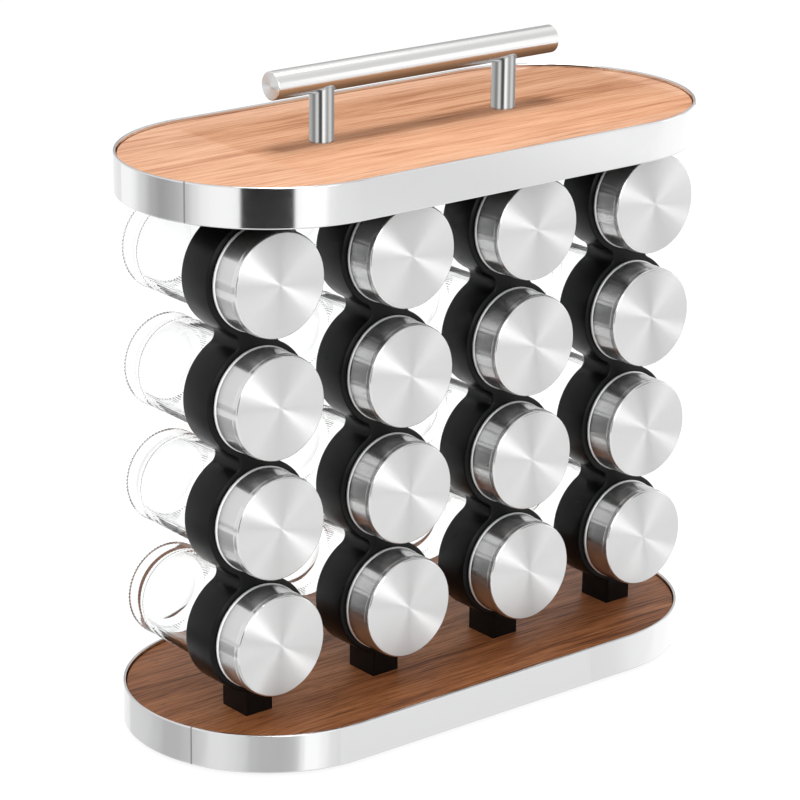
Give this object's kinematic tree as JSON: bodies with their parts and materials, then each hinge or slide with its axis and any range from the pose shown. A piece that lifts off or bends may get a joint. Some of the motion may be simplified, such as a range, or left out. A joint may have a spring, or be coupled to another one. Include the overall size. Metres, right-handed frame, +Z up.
{
  "type": "spice carousel",
  "caption": "Oblong spice rack of capped glass jars in black columns between steel-banded boards, on a swivel base with a bar handle on top.",
  "frame": {"origin": "centre of the base on the surface it stands on", "axes": "+X along the rack, -Y towards the caps, +Z up"},
  "size_m": [0.2816, 0.127, 0.2861],
  "materials": {
    "cap_steel": "radially spun satin face, polished side",
    "jar_glass": "clear, smooth",
    "black_moulding": "satin moulded",
    "band_steel": "polished stainless strip",
    "light_wood": "pale oak laminate, satin",
    "dark_wood": "walnut laminate, satin",
    "fibreboard": "pressed board faced in black, matt",
    "handle_steel": "fine turned satin",
    "zinc_steel": "zinc plated sheet",
    "screw_steel": "zinc plated",
    "ball_steel": "polished",
    "nylon": "natural moulded",
    "rubber": "matt"
  },
  "bodies": {
    "turntable": {"swivel_lower_plate": "zinc_steel", "rubber_pads": "rubber", "pivot_rivet": "zinc_steel"},
    "ball_cage": {"bearing_balls": "ball_steel", "ball_cage": "nylon"},
    "rack": {"swivel_upper_plate": "zinc_steel", "swivel_screws": "screw_steel", "base_board": "fibreboard", "base_panel": "dark_wood", "base_band": "band_steel", "base_screws": "screw_steel", "column_1": "black_moulding", "column_2": "black_moulding", "column_3": "black_moulding", "column_4": "black_moulding", "top_board": "fibreboard", "top_panel": "light_wood", "top_band": "band_steel", "top_screws": "screw_steel", "handle_bar": "handle_steel", "handle_post_left": "handle_steel", "handle_post_right": "handle_steel", "handle_screws": "screw_steel"},
    "jar_1_1": {"jar_1_1": "jar_glass"},
    "cap_1_1": {"cap_1_1": "cap_steel"},
    "jar_1_2": {"jar_1_2": "jar_glass"},
    "cap_1_2": {"cap_1_2": "cap_steel"},
    "jar_1_3": {"jar_1_3": "jar_glass"},
    "cap_1_3": {"cap_1_3": "cap_steel"},
    "jar_1_4": {"jar_1_4": "jar_glass"},
    "cap_1_4": {"cap_1_4": "cap_steel"},
    "jar_2_1": {"jar_2_1": "jar_glass"},
    "cap_2_1": {"cap_2_1": "cap_steel"},
    "jar_2_2": {"jar_2_2": "jar_glass"},
    "cap_2_2": {"cap_2_2": "cap_steel"},
    "jar_2_3": {"jar_2_3": "jar_glass"},
    "cap_2_3": {"cap_2_3": "cap_steel"},
    "jar_2_4": {"jar_2_4": "jar_glass"},
    "cap_2_4": {"cap_2_4": "cap_steel"},
    "jar_3_1": {"jar_3_1": "jar_glass"},
    "cap_3_1": {"cap_3_1": "cap_steel"},
    "jar_3_2": {"jar_3_2": "jar_glass"},
    "cap_3_2": {"cap_3_2": "cap_steel"},
    "jar_3_3": {"jar_3_3": "jar_glass"},
    "cap_3_3": {"cap_3_3": "cap_steel"},
    "jar_3_4": {"jar_3_4": "jar_glass"},
    "cap_3_4": {"cap_3_4": "cap_steel"},
    "jar_4_1": {"jar_4_1": "jar_glass"},
    "cap_4_1": {"cap_4_1": "cap_steel"},
    "jar_4_2": {"jar_4_2": "jar_glass"},
    "cap_4_2": {"cap_4_2": "cap_steel"},
    "jar_4_3": {"jar_4_3": "jar_glass"},
    "cap_4_3": {"cap_4_3": "cap_steel"},
    "jar_4_4": {"jar_4_4": "jar_glass"},
    "cap_4_4": {"cap_4_4": "cap_steel"}
  },
  "joints": [
    {"name": "rack_turn", "type": "hinge", "parent": "turntable", "child": "rack", "pos_m": [0, 0, 0], "axis": [0, 0, 1], "continuous": true},
    {"name": "cage_turn", "type": "hinge", "parent": "turntable", "child": "ball_cage", "pos_m": [0, 0, 0], "axis": [0, 0, 1], "continuous": true},
    {"name": "jar_1_1_slide", "type": "slide", "parent": "rack", "child": "jar_1_1", "axis": [0, -1, 0], "range_m": [0, 0.075]},
    {"name": "cap_1_1_lift", "type": "slide", "parent": "jar_1_1", "child": "cap_1_1", "axis": [0, -1, 0], "range_m": [0, 0.025]},
    {"name": "jar_1_2_slide", "type": "slide", "parent": "rack", "child": "jar_1_2", "axis": [0, -1, 0], "range_m": [0, 0.075]},
    {"name": "cap_1_2_lift", "type": "slide", "parent": "jar_1_2", "child": "cap_1_2", "axis": [0, -1, 0], "range_m": [0, 0.025]},
    {"name": "jar_1_3_slide", "type": "slide", "parent": "rack", "child": "jar_1_3", "axis": [0, -1, 0], "range_m": [0, 0.075]},
    {"name": "cap_1_3_lift", "type": "slide", "parent": "jar_1_3", "child": "cap_1_3", "axis": [0, -1, 0], "range_m": [0, 0.025]},
    {"name": "jar_1_4_slide", "type": "slide", "parent": "rack", "child": "jar_1_4", "axis": [0, -1, 0], "range_m": [0, 0.075]},
    {"name": "cap_1_4_lift", "type": "slide", "parent": "jar_1_4", "child": "cap_1_4", "axis": [0, -1, 0], "range_m": [0, 0.025]},
    {"name": "jar_2_1_slide", "type": "slide", "parent": "rack", "child": "jar_2_1", "axis": [0, -1, 0], "range_m": [0, 0.075]},
    {"name": "cap_2_1_lift", "type": "slide", "parent": "jar_2_1", "child": "cap_2_1", "axis": [0, -1, 0], "range_m": [0, 0.025]},
    {"name": "jar_2_2_slide", "type": "slide", "parent": "rack", "child": "jar_2_2", "axis": [0, -1, 0], "range_m": [0, 0.075]},
    {"name": "cap_2_2_lift", "type": "slide", "parent": "jar_2_2", "child": "cap_2_2", "axis": [0, -1, 0], "range_m": [0, 0.025]},
    {"name": "jar_2_3_slide", "type": "slide", "parent": "rack", "child": "jar_2_3", "axis": [0, -1, 0], "range_m": [0, 0.075]},
    {"name": "cap_2_3_lift", "type": "slide", "parent": "jar_2_3", "child": "cap_2_3", "axis": [0, -1, 0], "range_m": [0, 0.025]},
    {"name": "jar_2_4_slide", "type": "slide", "parent": "rack", "child": "jar_2_4", "axis": [0, -1, 0], "range_m": [0, 0.075]},
    {"name": "cap_2_4_lift", "type": "slide", "parent": "jar_2_4", "child": "cap_2_4", "axis": [0, -1, 0], "range_m": [0, 0.025]},
    {"name": "jar_3_1_slide", "type": "slide", "parent": "rack", "child": "jar_3_1", "axis": [0, -1, 0], "range_m": [0, 0.075]},
    {"name": "cap_3_1_lift", "type": "slide", "parent": "jar_3_1", "child": "cap_3_1", "axis": [0, -1, 0], "range_m": [0, 0.025]},
    {"name": "jar_3_2_slide", "type": "slide", "parent": "rack", "child": "jar_3_2", "axis": [0, -1, 0], "range_m": [0, 0.075]},
    {"name": "cap_3_2_lift", "type": "slide", "parent": "jar_3_2", "child": "cap_3_2", "axis": [0, -1, 0], "range_m": [0, 0.025]},
    {"name": "jar_3_3_slide", "type": "slide", "parent": "rack", "child": "jar_3_3", "axis": [0, -1, 0], "range_m": [0, 0.075]},
    {"name": "cap_3_3_lift", "type": "slide", "parent": "jar_3_3", "child": "cap_3_3", "axis": [0, -1, 0], "range_m": [0, 0.025]},
    {"name": "jar_3_4_slide", "type": "slide", "parent": "rack", "child": "jar_3_4", "axis": [0, -1, 0], "range_m": [0, 0.075]},
    {"name": "cap_3_4_lift", "type": "slide", "parent": "jar_3_4", "child": "cap_3_4", "axis": [0, -1, 0], "range_m": [0, 0.025]},
    {"name": "jar_4_1_slide", "type": "slide", "parent": "rack", "child": "jar_4_1", "axis": [0, -1, 0], "range_m": [0, 0.075]},
    {"name": "cap_4_1_lift", "type": "slide", "parent": "jar_4_1", "child": "cap_4_1", "axis": [0, -1, 0], "range_m": [0, 0.025]},
    {"name": "jar_4_2_slide", "type": "slide", "parent": "rack", "child": "jar_4_2", "axis": [0, -1, 0], "range_m": [0, 0.075]},
    {"name": "cap_4_2_lift", "type": "slide", "parent": "jar_4_2", "child": "cap_4_2", "axis": [0, -1, 0], "range_m": [0, 0.025]},
    {"name": "jar_4_3_slide", "type": "slide", "parent": "rack", "child": "jar_4_3", "axis": [0, -1, 0], "range_m": [0, 0.075]},
    {"name": "cap_4_3_lift", "type": "slide", "parent": "jar_4_3", "child": "cap_4_3", "axis": [0, -1, 0], "range_m": [0, 0.025]},
    {"name": "jar_4_4_slide", "type": "slide", "parent": "rack", "child": "jar_4_4", "axis": [0, -1, 0], "range_m": [0, 0.075]},
    {"name": "cap_4_4_lift", "type": "slide", "parent": "jar_4_4", "child": "cap_4_4", "axis": [0, -1, 0], "range_m": [0, 0.025]}
  ],
  "couplings": [
    {"joint": "cage_turn", "follows": "rack_turn", "ratio": 0.5}
  ]
}
